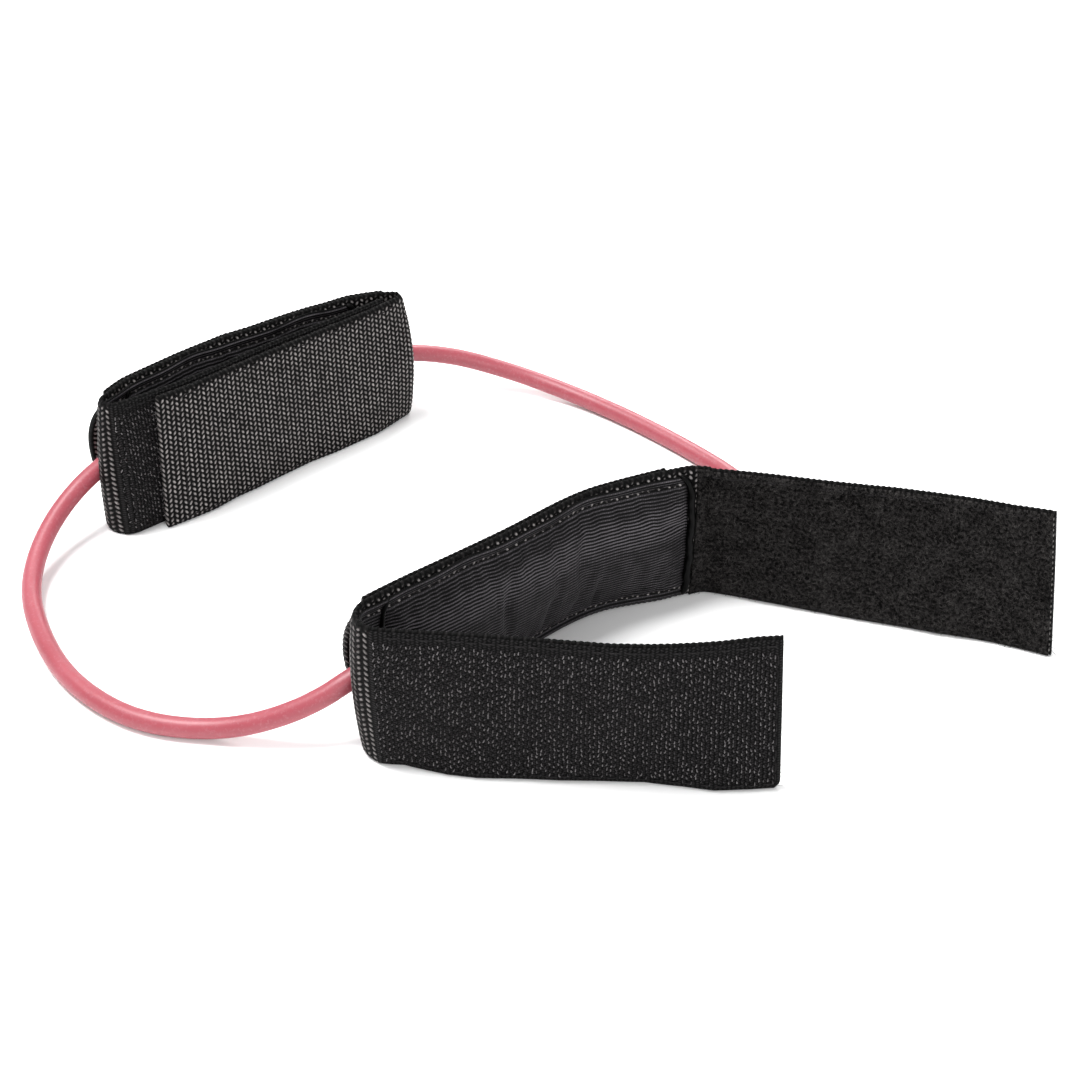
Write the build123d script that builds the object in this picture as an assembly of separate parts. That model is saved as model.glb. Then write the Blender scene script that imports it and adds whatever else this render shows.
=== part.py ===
from build123d import *
import math
import os
from dataclasses import dataclass

# Leg resistance band: two webbing ankle cuffs standing on edge, joined by one closed loop of
# rubber tube that runs through a sleeve on the outside of each cuff.
# Millimetres. +X runs along the padded backs of the cuffs, +Y from the open cuff to the closed
# one, which is the way the band is pulled. +Z is up and the straps' lower edges stand at z = 0.
# The origin is the bottom centre of the two cuffs' box, with the tube left out.

# ---- driving sizes -----------------------------------------------------------------------
STRAP_WIDTH = 50.0          # height of the strap as it stands on edge
WEBBING = 1.7               # strap and sleeve webbing thickness
HOOK_THICK = 1.3            # hook tape, hooks included
LOOP_THICK = 1.8            # loop tape, pile included
TAPE_INSET = 0.8            # tape selvage to strap edge
TAPE_END = 1.0              # tape to the strap's cut end, and loop tape to its fold
HOOK_BARE = 5.0             # bare webbing between the hook tape and its fold
BACK_BEND = 60.0            # radius of the gentle bends along a padded back

PAD_THICK = 5.5             # foam and lining together
PAD_INSET = 2.6             # pad to strap edge, top and bottom
LINING = 0.8                # ribbed lining thickness
BINDING_WIDE = 2.6          # rolled edge at each end of the pad
BINDING_THICK = 2.2
FACE_GAP = 0.2              # clearance between two pieces that lie end to end

TUBE_OUTER = 6.4            # rubber tube, outside and bore diameters
TUBE_BORE = 3.2
SLEEVE_RISE = 8.0           # inside height of the sleeve's arch over the strap
SLEEVE_HEM = 5.5            # flat stretch sewn to the strap at each edge of the sleeve

PLUG_DIAMETER = 2.8         # the barbed rod that joins the tube's two ends
PLUG_REACH = 11.0           # how far it goes into each end
BARB_DIAMETER = 3.0
BARB_LENGTH = 2.4

THREAD = 0.35               # stitch height above the cloth
STITCH_WIDE = 0.6
STITCH_LONG = 3.6
STITCH_PITCH = 5.6
STITCH_INSET = 2.4          # stitch row to strap edge
SEWN_SHORT = 8.0            # how far the back's stitch rows stop short of its bends

HALF = WEBBING / 2


@dataclass
class Cuff:
    """Plan of one strap, seen from above, along the middle of the webbing.

    The strap runs from the end of the hook tab round the tab fold, along the padded back and
    round the flap fold to the end of the loop flap, turning clockwise all the way, so its
    outer face is always on the left.
    """
    name: str
    tab_fold: tuple         # centre of the fold between hook tab and back
    tab_fold_radius: float
    tab_heading: float      # degrees, travelling from the tab's end to its fold
    tab_length: float
    back_corners: list      # corners of the padded back between the two folds
    flap_fold: tuple        # centre of the fold between back and loop flap
    flap_fold_radius: float
    flap_heading: float     # degrees, travelling from the fold to the flap's end
    flap_length: float
    pad_ends: tuple         # x of the pad's two ends
    sleeve_ends: tuple      # x of the sleeve's two ends


OPEN_CUFF = Cuff(
    "open_cuff",
    tab_fold=(-87.0, -38.7), tab_fold_radius=7.15, tab_heading=134.5, tab_length=111.0,
    back_corners=[(1.0, -31.6)],
    flap_fold=(33.5, -48.2), flap_fold_radius=5.0, flap_heading=-57.0, flap_length=107.0,
    pad_ends=(-83.0, 30.0), sleeve_ends=(-86.5, 24.0))

CLOSED_CUFF = Cuff(
    "closed_cuff",
    tab_fold=(-80.5, 117.3), tab_fold_radius=4.9, tab_heading=181.3, tab_length=110.5,
    back_corners=[(-49.0, 127.5), (5.0, 127.5)],
    flap_fold=(37.5, 114.5), flap_fold_radius=4.5, flap_heading=-178.7, flap_length=113.0,
    pad_ends=(-73.0, 22.0), sleeve_ends=(-79.5, 35.0))

# Control points of the tube's route, one closed loop cut at the joiner in the closed cuff's
# sleeve: left loop, open cuff's sleeve, right loop, and back.
TUBE_ROUTE = [
    (-19.0, 132.05, 24.5),
    (-49.4, 132.05, 24.5),
    (-87.0, 125.9, 21.2),
    (-111.0, 119.0, 12.5),
    (-130.0, 101.5, 5.2),
    (-141.5, 75.5, 3.25),
    (-145.5, 46.5, 3.25),
    (-139.0, 18.5, 3.25),
    (-122.0, -3.0, 3.4),
    (-105.0, -21.0, 13.5),
    (-87.0, -27.1, 23.0),
    (-43.0, -27.0, 24.5),
    (2.6, -26.6, 24.0),
    (31.0, -38.2, 21.0),
    (56.0, -41.5, 15.5),
    (80.0, -31.5, 7.5),
    (93.5, -7.5, 3.25),
    (95.0, 20.5, 3.25),
    (94.5, 50.5, 3.25),
    (91.0, 77.5, 4.0),
    (81.0, 100.5, 8.0),
    (61.0, 116.5, 16.0),
    (35.6, 124.1, 22.0),
    (5.6, 132.05, 24.5),
    (-17.0, 132.05, 24.5),
]
RUN_SHARE = 0.45            # share of the shorter run that each arc of the tube takes up


# ---- plan geometry -----------------------------------------------------------------------
def unit(degrees):
    return Vector(math.cos(math.radians(degrees)), math.sin(math.radians(degrees)))


def outward(degrees):
    """The direction that the strap's outer face looks in, for a heading."""
    return unit(degrees + 90)


def heading(start, end):
    return math.degrees(math.atan2(end.Y - start.Y, end.X - start.X))


def heading_off(centre, radius, point):
    """Heading of the straight run that leaves a clockwise fold towards a point."""
    return heading(centre, point) - math.degrees(math.asin(radius / (point - centre).length))


def heading_on(point, centre, radius):
    """Heading of the straight run from a point that ends tangent to a clockwise fold."""
    return heading(point, centre) + math.degrees(math.asin(radius / (centre - point).length))


def back_route(cuff):
    """Middle line of the padded back: from the tab fold over its corners to the flap fold."""
    corners = [Vector(*corner) for corner in cuff.back_corners]
    tab_centre, flap_centre = Vector(*cuff.tab_fold), Vector(*cuff.flap_fold)
    first = heading_off(tab_centre, cuff.tab_fold_radius, corners[0])
    last = heading_on(corners[-1], flap_centre, cuff.flap_fold_radius)
    start = tab_centre + outward(first) * cuff.tab_fold_radius
    end = flap_centre + outward(last) * cuff.flap_fold_radius
    return [start] + corners + [end]


def tab_line(cuff):
    """Middle line of the hook tab, from its end to its fold."""
    fold = Vector(*cuff.tab_fold) + outward(cuff.tab_heading) * cuff.tab_fold_radius
    return [fold - unit(cuff.tab_heading) * cuff.tab_length, fold]


def flap_line(cuff):
    """Middle line of the loop flap, from its fold to its end."""
    fold = Vector(*cuff.flap_fold) + outward(cuff.flap_heading) * cuff.flap_fold_radius
    return [fold, fold + unit(cuff.flap_heading) * cuff.flap_length]


def cut_to(route, first_x, last_x):
    """The route with its two end runs cut or extended to two values of x."""
    def at(start, end, x):
        return start + (end - start) * ((x - start.X) / (end.X - start.X))
    head = at(route[0], route[1], first_x)
    tail = at(route[-2], route[-1], last_x)
    return [head] + route[1:-1] + [tail]


def part_of(line, from_start, from_end):
    """A straight line with a length taken off each end."""
    along = (line[1] - line[0]).normalized()
    return [line[0] + along * from_start, line[1] - along * from_end]


def beside(route, offset):
    """The route moved sideways by an offset, positive towards the strap's outer face."""
    headings = [heading(a, b) for a, b in zip(route, route[1:])]
    moved = [route[0] + outward(headings[0]) * offset]
    for corner, before, after in zip(route[1:-1], headings, headings[1:]):
        turn = math.radians(after - before) / 2
        moved.append(corner + outward((before + after) / 2) * (offset / math.cos(turn)))
    moved.append(route[-1] + outward(headings[-1]) * offset)
    return moved


def rounded(route, radius):
    """The route as a line whose corners are arcs."""
    if len(route) == 2:
        return Line(*route)
    return FilletPolyline(*route, radius=radius)


def ribbon(route, inner, outer, low, high):
    """A layer that follows a plan route, between two sideways offsets and two heights."""
    far = rounded(beside(route, outer), BACK_BEND + outer)
    near = rounded(beside(route, inner), BACK_BEND + inner)
    ends = [Line(far @ 0, near @ 0), Line(far @ 1, near @ 1)]
    face = make_face([*far.edges(), *near.edges(), *ends])
    return extrude(Pos(0, 0, low) * face, high - low, dir=(0, 0, 1))


def fold_layer(centre, radius, heading_in, heading_out):
    """The webbing round a fold, from one heading to the other, clockwise."""
    turn = heading_out - heading_in
    far = CenterArc(centre, radius + HALF, heading_in + 90, turn)
    near = CenterArc(centre, radius - HALF, heading_in + 90, turn)
    ends = [Line(far @ 0, near @ 0), Line(far @ 1, near @ 1)]
    return extrude(make_face([far.edge(), near.edge(), *ends]), STRAP_WIDTH, dir=(0, 0, 1))


# ---- stitching ---------------------------------------------------------------------------
def stitch_row(line, offset, height):
    """Stitches along a straight line, lying on a face at a sideways offset."""
    side = 1 if offset > 0 else -1
    along = (line[1] - line[0]).normalized()
    angle = heading(line[0], line[1])
    count = int((line[1] - line[0]).length // STITCH_PITCH)
    middle = outward(angle) * (offset + side * THREAD / 2) + Vector(0, 0, height)
    stitches = []
    for number in range(count):
        spot = line[0] + along * (STITCH_PITCH * (number + 0.5)) + middle
        stitches.append(Pos(spot) * Rot(0, 0, angle) * Box(STITCH_LONG, THREAD, STITCH_WIDE))
    return stitches


def edge_rows(line, offset):
    """The two stitch rows beside the strap's lower and upper edges."""
    lower = stitch_row(line, offset, STITCH_INSET)
    upper = stitch_row(line, offset, STRAP_WIDTH - STITCH_INSET)
    return lower + upper


# ---- the straps' pieces ------------------------------------------------------------------
def sleeve(cuff):
    """Webbing arched over the tube, its two hems flat on the strap's outer face."""
    route = cut_to(back_route(cuff), *cuff.sleeve_ends)
    path = rounded(route, BACK_BEND)

    def arch(gap):
        """Half outline of the arch, at a distance from the strap's outer face."""
        hem_low, hem_high = (0, HALF + gap), (SLEEVE_HEM, HALF + gap)
        top = (STRAP_WIDTH / 2, HALF + SLEEVE_RISE + gap)
        far_hem = (STRAP_WIDTH - SLEEVE_HEM, HALF + gap)
        return [Line(hem_low, hem_high), ThreePointArc(hem_high, top, far_hem),
                Line(far_hem, (STRAP_WIDTH, HALF + gap))]

    inside, outside = arch(0), arch(WEBBING)
    ends = [Line((0, HALF), (0, HALF + WEBBING)),
            Line((STRAP_WIDTH, HALF), (STRAP_WIDTH, HALF + WEBBING))]
    outline = make_face([*inside, *outside, *ends])
    # In the outline, x is the height up the strap and y is the way out from it.
    start = Plane(origin=route[0], x_dir=(0, 0, 1), z_dir=-(route[1] - route[0]).normalized())
    return sweep(start * outline, path=path)


def pad_block(cuff, trim):
    """The pad's outer shape, or its foam when trimmed by the lining."""
    first, last = cuff.pad_ends
    route = cut_to(back_route(cuff), first + trim, last - trim)
    low = PAD_INSET + trim
    return ribbon(route, -HALF - PAD_THICK + trim, -HALF, low, STRAP_WIDTH - low)


def pad_binding(cuff):
    """The rolled edge of the lining beyond each end of the pad, sewn to the strap."""
    route = back_route(cuff)
    first, last = cuff.pad_ends
    rolls = []
    for run, low_x in ((route[:2], first - FACE_GAP - BINDING_WIDE),
                       (route[-2:], last + FACE_GAP)):
        roll_line = cut_to(run, low_x, low_x + BINDING_WIDE)
        rolls.append(ribbon(roll_line, -HALF - BINDING_THICK, -HALF,
                            PAD_INSET, STRAP_WIDTH - PAD_INSET))
    return rolls


def cuff_pieces(cuff):
    """Every piece of one cuff, by node name."""
    back = back_route(cuff)
    tab, flap = tab_line(cuff), flap_line(cuff)
    tape_low, tape_high = TAPE_INSET, STRAP_WIDTH - TAPE_INSET
    hook_line = part_of(tab, TAPE_END, HOOK_BARE)
    loop_line = part_of(flap, TAPE_END, TAPE_END)
    foam = pad_block(cuff, LINING)
    longest = max(zip(back, back[1:]), key=lambda run: (run[1] - run[0]).length)
    sewn = part_of(list(longest), SEWN_SHORT, SEWN_SHORT)
    pieces = {
        "back_webbing": [ribbon(back, -HALF, HALF, 0, STRAP_WIDTH)],
        "tab_fold": [fold_layer(cuff.tab_fold, cuff.tab_fold_radius, cuff.tab_heading,
                                heading(back[0], back[1]))],
        "hook_tab": [ribbon(tab, -HALF, HALF, 0, STRAP_WIDTH)],
        "flap_fold": [fold_layer(cuff.flap_fold, cuff.flap_fold_radius,
                                 heading(back[-2], back[-1]), cuff.flap_heading)],
        "loop_flap": [ribbon(flap, -HALF, HALF, 0, STRAP_WIDTH)],
        "hook_tape": [ribbon(hook_line, HALF, HALF + HOOK_THICK, tape_low, tape_high)],
        "loop_tape": [ribbon(loop_line, -HALF - LOOP_THICK, -HALF, tape_low, tape_high)],
        "tube_sleeve": [sleeve(cuff)],
        "foam_pad": [foam],
        "pad_cover": [pad_block(cuff, 0) - foam],
        "pad_binding": pad_binding(cuff),
        "sleeve_stitching": edge_rows(sewn, HALF + WEBBING),
        "pad_stitching": pad_rows(sewn),
        "hook_stitching": edge_rows(hook_line, -HALF),
        "loop_stitching": edge_rows(loop_line, HALF),
    }
    return {f"{cuff.name}_{piece}": solids for piece, solids in pieces.items()}


def pad_rows(line):
    """Stitches through the lining's hems, on the strap's inner face beside the pad."""
    height = PAD_INSET / 2
    return (stitch_row(line, -HALF, height)
            + stitch_row(line, -HALF, STRAP_WIDTH - height))


# ---- the tube ----------------------------------------------------------------------------
def tube_radii(points):
    """One radius for each corner of the route, as large as its two runs allow."""
    radii = []
    for before, corner, after in zip(points, points[1:], points[2:]):
        turn = (corner - before).get_angle(after - corner)
        run = min((corner - before).length, (after - corner).length)
        radii.append(RUN_SHARE * run / math.tan(math.radians(turn) / 2))
    return radii


def resistance_tube():
    points = [Vector(*point) for point in TUBE_ROUTE]
    radii = tube_radii(points)
    path = FilletPolyline(*points, radius=radii)
    section = Circle(TUBE_OUTER / 2) - Circle(TUBE_BORE / 2)
    start = Plane(origin=points[0], z_dir=(points[1] - points[0]).normalized())
    tube = sweep(start * section, path=path)
    print("tube radii", [round(radius) for radius in radii])
    print("tube length", round(path.length, 1), "volume / (section x length)",
          round(tube.volume / (section.area * path.length), 4))
    return tube


def tube_joiner():
    """Barbed rod with a collar, pushed into the tube's two facing ends."""
    left, right = Vector(*TUBE_ROUTE[0]), Vector(*TUBE_ROUTE[-1])
    middle = (left + right) / 2
    gap = (right - left).length
    rod = Cylinder(PLUG_DIAMETER / 2, gap + 2 * PLUG_REACH)
    rod += Cylinder(TUBE_OUTER / 2, gap - FACE_GAP)
    for side in (1, -1):
        tip = gap / 2 + PLUG_REACH
        barb = Cone(BARB_DIAMETER / 2, PLUG_DIAMETER / 3, BARB_LENGTH)
        if side < 0:
            barb = Rot(180, 0, 0) * barb
        rod += Pos(0, 0, side * (tip - BARB_LENGTH / 2)) * barb
    return Pos(middle) * Rot(0, 90, 0) * rod


# ---- build and write ---------------------------------------------------------------------
def build():
    nodes = {}
    for cuff in (OPEN_CUFF, CLOSED_CUFF):
        nodes.update(cuff_pieces(cuff))
    nodes["resistance_tube"] = [resistance_tube()]
    nodes["tube_joiner"] = [tube_joiner()]
    return nodes


def main():
    os.makedirs("parts", exist_ok=True)
    for name, solids in build().items():
        shape = solids[0] if len(solids) == 1 else Compound(children=list(solids))
        shape.label = name
        export_step(shape, f"parts/{name}.step")


if __name__ == "__main__":
    main()
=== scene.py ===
import math

import bpy
import numpy as np
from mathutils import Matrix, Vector


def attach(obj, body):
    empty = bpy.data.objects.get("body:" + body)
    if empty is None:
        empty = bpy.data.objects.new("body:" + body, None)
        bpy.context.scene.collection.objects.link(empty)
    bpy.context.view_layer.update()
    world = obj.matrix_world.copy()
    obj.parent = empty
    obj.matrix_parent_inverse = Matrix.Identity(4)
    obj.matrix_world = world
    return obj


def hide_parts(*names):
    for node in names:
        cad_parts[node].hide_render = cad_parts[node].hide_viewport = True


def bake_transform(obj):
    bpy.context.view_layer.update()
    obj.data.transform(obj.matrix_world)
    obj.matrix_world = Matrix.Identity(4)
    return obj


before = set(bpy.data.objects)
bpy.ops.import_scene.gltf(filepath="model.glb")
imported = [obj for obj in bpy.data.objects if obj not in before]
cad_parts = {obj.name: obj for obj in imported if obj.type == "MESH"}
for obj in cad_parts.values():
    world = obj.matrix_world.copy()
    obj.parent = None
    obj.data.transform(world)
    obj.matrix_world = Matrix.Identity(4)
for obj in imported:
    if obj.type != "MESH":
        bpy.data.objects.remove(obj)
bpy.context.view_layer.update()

MM = 0.001
rng = np.random.default_rng(7)

# ---- sizes, in millimetres ---------------------------------------------------------------
STRAP = 50.0                # strap width, standing on edge
WEB = 1.7                   # webbing thickness
HALF = WEB / 2
COLUMN = 1.83               # weave: one column of floats along the strap
ROW = 1.905                 # weave: one float up the strap
FLOAT_RISE = 0.38           # how far a float stands out of the weave
FLOAT_WIDE = 0.36           # half a float's width, as a share of a column
FLOAT_TALL = 0.50           # half its height, as a share of a row
SLANT = 0.42                # how much a float slants, to one side then the other
HOOK_BASE = 0.5             # hook tape's woven base
HOOK_RISE = 0.80            # hook above its base
HOOK_COLUMN = 1.255
HOOK_ROW = 1.75
SELVAGE = 2.6               # plain edge of the hook tape
LOOP_BASE = 1.0             # loop tape's base with its matted pile
LOOP_RISE = 0.75            # loose loops above it
TAPE_INSET = 0.4
PAD_RISE = 5.2              # how far the puffed pad stands off the webbing
PAD_HEM = 3.4               # flat hem of the lining at each long edge
RIB = 1.135                 # pitch of the lining's ribs
RIB_RISE = 0.34
SLEEVE_RISE = 8.0
SLEEVE_HEM = 5.5
TUBE_RADIUS = 3.2
STITCH = 3.1
STITCH_PITCH = 4.4
TAIL = 22.0                 # how far the lining goes on round the fold beyond the pad
EDGE_INSET = 0.25           # the webbing's rounded edges, from the strap's nominal edges
SLEEVE_INSET = 0.5
LINING_FOOT = 1.0           # from the strap's lower edge up to the lining
LINING_HEAD = 1.6           # from the lining up to the strap's top edge
SEAM_INSET = 2.0            # tape seams, from the strap's edges
TUFT = 0.8                  # size of the loop tape's matted tufts
STRAP_SPLIT = -25.0         # x where each webbing is split in two, behind the middle of the pad
FOLD_SHADE_REACH = 11.0           # how far round the tab's fold painted shade darkens the floats
# how much painted shade darkens the floats at the tab's fold
FOLD_PAINTED_SHADE = 0.22

# Control points of the tube's route, in metres: one closed loop, cut at the joiner.
TUBE_ROUTE = [
    (-0.0190, 0.13205, 0.0245),
    (-0.0494, 0.13205, 0.0245),
    (-0.0870, 0.1259, 0.0212),
    (-0.1105, 0.1185, 0.0125),
    (-0.1295, 0.1012, 0.0052),
    (-0.1398, 0.0753, 0.00325),
    (-0.1448, 0.0465, 0.00325),
    (-0.1396, 0.0178, 0.00325),
    (-0.1219, -0.0031, 0.0034),
    (-0.1049, -0.0208, 0.0135),
    (-0.0870, -0.0271, 0.0230),
    (-0.0430, -0.0270, 0.0245),
    (0.0026, -0.0266, 0.0240),
    (0.0310, -0.0382, 0.0210),
    (0.0560, -0.0415, 0.0155),
    (0.0800, -0.0315, 0.0075),
    (0.0935, -0.0075, 0.00325),
    (0.0950, 0.0205, 0.00325),
    (0.0942, 0.0505, 0.00325),
    (0.0900, 0.0774, 0.0040),
    (0.0795, 0.1001, 0.0080),
    (0.0606, 0.1166, 0.0160),
    (0.0358, 0.1243, 0.0223),
    (0.0056, 0.13205, 0.0245),
    (-0.0170, 0.13205, 0.0245),
]


# ---- meshes ------------------------------------------------------------------------------
def make_piece(name, points, faces, material, cloth=None):
    """A smooth mesh object from millimetre points and a list of face arrays.

    cloth is a vector for each point, which the materials read.
    """
    mesh = bpy.data.meshes.new(name)
    mesh.from_pydata([], [], [])
    counts = [len(block) for block in faces]
    sizes = [block.shape[1] for block in faces]
    corners = np.concatenate([block.ravel() for block in faces]).astype(np.int32)
    totals = np.concatenate([np.full(n, size) for n, size in zip(counts, sizes)])
    starts = np.concatenate([[0], np.cumsum(totals)[:-1]])
    mesh.vertices.add(len(points))
    mesh.vertices.foreach_set("co", (np.asarray(points) * MM).astype(np.float32).ravel())
    mesh.loops.add(len(corners))
    mesh.loops.foreach_set("vertex_index", corners)
    mesh.polygons.add(len(totals))
    mesh.polygons.foreach_set("loop_start", starts.astype(np.int32))
    if cloth is not None:
        layer = mesh.attributes.new("cloth", "FLOAT_VECTOR", "POINT")
        layer.data.foreach_set("vector", np.asarray(cloth, np.float32).ravel())
    mesh.update(calc_edges=True)
    mesh.validate()
    mesh.polygons.foreach_set("use_smooth", np.full(len(mesh.polygons), True))
    mesh.materials.append(material)
    piece = bpy.data.objects.new(name, mesh)
    bpy.context.scene.collection.objects.link(piece)
    return piece


def grid_faces(rows, columns, wrap=False):
    """Quads of a rows x columns grid of points; wrap joins the last column to the first."""
    index = np.arange(rows * columns).reshape(rows, columns)
    after = np.roll(index, -1, axis=1) if wrap else index[:, 1:]
    here = index if wrap else index[:, :-1]
    return np.stack([here[:-1], here[1:], after[1:], after[:-1]], axis=-1).reshape(-1, 4)


def unit_rows(vectors):
    """The vectors along the last axis, each made one unit long."""
    length = np.linalg.norm(vectors, axis=-1, keepdims=True)
    return vectors / np.maximum(length, 1e-9)


def tubes(points, radius, sides):
    """Capped tubes round many flat curves at once.

    points is curves x stations x 3 and radius curves x stations, both in millimetres.
    """
    curves, stations = points.shape[:2]
    tangent = unit_rows(np.gradient(points, axis=1))
    chord = points[:, -1] - points[:, 0]
    bow = points[:, stations // 2] - points[:, 0]
    across = np.cross(chord, bow)
    straight = np.linalg.norm(across, axis=1) < 1e-6
    across[straight] = np.cross(chord[straight], (0.3, 0.2, 0.9))
    across = unit_rows(across)[:, None, :] * np.ones((1, stations, 1))
    up = unit_rows(np.cross(across, tangent))
    angle = np.arange(sides) * (2 * math.pi / sides)
    ring = (np.cos(angle)[:, None] * across[:, :, None, :]
            + np.sin(angle)[:, None] * up[:, :, None, :])
    shell = points[:, :, None, :] + ring * np.asarray(radius)[:, :, None, None]
    quads = grid_faces(stations, sides, wrap=True)
    steps = np.arange(curves)[:, None, None] * (stations * sides)
    faces = [(quads[None] + steps).reshape(-1, 4)]
    first = np.arange(sides)[None, None, :]
    faces.append((first[:, :, ::-1] + steps).reshape(-1, sides)[:, ::-1])
    faces.append((first + (stations - 1) * sides + steps).reshape(-1, sides)[:, ::-1])
    return shell.reshape(-1, 3), faces


# ---- the strap's line --------------------------------------------------------------------
def arc(centre, radius, first_heading, last_heading):
    """Points round a clockwise fold, between two headings in degrees."""
    count = max(4, int(abs(last_heading - first_heading) / 12))
    angles = np.radians(np.linspace(first_heading, last_heading, count) + 90)
    return [(centre[0] + radius * math.cos(a), centre[1] + radius * math.sin(a)) for a in angles]


def spline_through(points, step):
    """A natural cubic curve through the points, sampled evenly."""
    points = np.array(points, float)
    t = np.concatenate([[0], np.cumsum(np.linalg.norm(np.diff(points, axis=0), axis=1))])
    gap = np.diff(t)
    n = len(points)
    system = np.eye(n)
    right = np.zeros((n, 2))
    for i in range(1, n - 1):
        system[i, i - 1:i + 2] = gap[i - 1], 2 * (gap[i - 1] + gap[i]), gap[i]
        slopes = np.diff(points[i - 1:i + 2], axis=0) / gap[i - 1:i + 1, None]
        right[i] = 6 * (slopes[1] - slopes[0])
    second = np.linalg.solve(system, right)
    u = np.arange(0, t[-1], step / 4)
    k = np.clip(np.searchsorted(t, u, side="right") - 1, 0, n - 2)
    a, b = (t[k + 1] - u)[:, None], (u - t[k])[:, None]
    g = gap[k][:, None]
    curve = ((second[k] * a ** 3 + second[k + 1] * b ** 3) / (6 * g)
             + (points[k] / g - second[k] * g / 6) * a
             + (points[k + 1] / g - second[k + 1] * g / 6) * b)
    return np.vstack([curve, points[-1:]])


class Strap:
    """One cuff's webbing: its line from above, and how its edges stray from upright.

    sway is how far the strap's top, middle and lower edge stand outward of its line, at places
    s along it. skew is how much further along the strap the lower edge is than the top edge.
    corner is the radius of the lower corner at the tab's end and at the flap's end. ripple is
    the size, pitch and phase of a wave in the strap's edges. fold is s at the tab's fold.
    """

    def __init__(self, name, tab, tab_fold, back, flap_fold, flap, sway, skew, corner, ripple):
        self.name = name
        line = spline_through(tab + arc(*tab_fold) + back + arc(*flap_fold) + flap, 0.5)
        self.s = np.concatenate([[0], np.cumsum(np.linalg.norm(np.diff(line, axis=0), axis=1))])
        self.line = line
        tangent = unit_rows(np.gradient(line, axis=0))
        self.outward = np.stack([-tangent[:, 1], tangent[:, 0]], axis=1)
        self.length = self.s[-1]
        self.fold = self.nearest((tab_fold[0][0] - tab_fold[1], tab_fold[0][1]))
        self.sway = sway
        self.skew = skew
        self.corner = corner
        self.ripple = ripple

    def nearest(self, point):
        """s of the line's point nearest to a place seen from above."""
        return float(self.s[np.argmin(np.linalg.norm(self.line - point, axis=1))])

    def back_at(self, x):
        """s where the padded back, which faces +Y and lies past the tab, passes a value of x."""
        middle = (self.s > 100) & (self.outward[:, 1] > 0.6)
        choice = np.flatnonzero(middle)
        return float(self.s[choice[np.argmin(np.abs(self.line[choice, 0] - x))]])

    def place(self, s, h, d):
        """Points in millimetres for places on the strap, which runs on straight past its ends."""
        s, h, d = np.broadcast_arrays(np.asarray(s, float), h, d)
        s = s + np.interp(s, *zip(*self.skew)) * (0.5 - h / STRAP)
        for end, sign, radius in ((0.0, 1, self.corner[0]), (self.length, -1, self.corner[1])):
            drop = np.clip(radius - h, 0, radius)
            drawn_in = radius - np.sqrt(radius ** 2 - drop ** 2)
            s = s + sign * drawn_in * np.clip(1 - np.abs(s - end) / (3 * radius), 0, 1)
        held = np.clip(s, 0, self.length)
        here = np.stack([np.interp(held, self.s, self.line[:, i]) for i in (0, 1)], axis=-1)
        out = unit_rows(np.stack([np.interp(held, self.s, self.outward[:, i])
                                  for i in (0, 1)], axis=-1))
        along = np.stack([out[..., 1], -out[..., 0]], axis=-1)
        stations, *offsets = zip(*self.sway)
        top, middle, lower = (np.interp(held, stations, values) for values in offsets)
        up = h / STRAP
        sway = (lower * (1 - up) * (1 - 2 * up) + middle * 4 * up * (1 - up)
                + top * up * (2 * up - 1))
        plan = here + along * (s - held)[..., None] + out * (d + sway)[..., None]
        size, pitch, phase = self.ripple
        wave = (0.5 + 0.5 * np.sin(s / pitch + phase)) * (1 - 0.6 * up)
        return np.concatenate([plan, (h + size * wave)[..., None]], axis=-1)


OPEN = Strap(
    "open_cuff",
    tab=[(-14.7, -124.5), (-36.0, -105.9), (-59.4, -81.2), (-82.6, -55.8)],
    tab_fold=((-87.7, -38.7), 7.15, 128.0, 2.0),
    back=[(-58.0, -31.3), (-28.0, -31.1), (-1.0, -31.5), (18.0, -37.0)],
    flap_fold=((33.5, -48.2), 5.0, -22.0, -54.0),
    flap=[(49.1, -61.3), (70.4, -92.9), (90.2, -124.4), (95.5, -136.8)],
    sway=[(0, -4.3, -1.4, 1.0), (8, -3.8, -1.2, 1.6), (18, -2.1, -0.4, 1.9), (27, -1.1, -0.3, 0.0),
          (38, 0.0, -0.4, -1.4), (50, 0.8, 0.2, -0.6), (62, 0.6, 0.4, 0.6), (75, 0.3, 0.6, 1.1),
          (86, 0.0, 0.6, 1.8), (95, 0.0, 0.4, 1.2), (108, 0.4, 0.4, -1.4), (118, 1.3, 2.0, -0.2),
          (126, 1.1, 2.9, 0.8), (136, 0.8, 0.9, 0.6), (184, 0.3, 0.9, 3.3), (224, 0.3, 0.8, 3.4),
          (242, 1.1, 0.3, 1.6), (250, 0.8, 0.0, 2.0), (258, -2.6, -0.6, 2.4),
          (275, -1.9, -0.5, 0.8), (290, -1.4, -0.6, 0.0), (314, 0.0, -0.5, -1.4),
          (333, -0.2, -1.5, -2.8), (350, -0.1, -0.7, -1.8), (364, 2.0, 0.9, -1.5)],
    skew=[(0, -1.8), (40, 0.0), (300, 0.0), (364, 6.7)],
    corner=(3.0, 0.8),
    ripple=(0.3, 8.5, 0.6))

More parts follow.
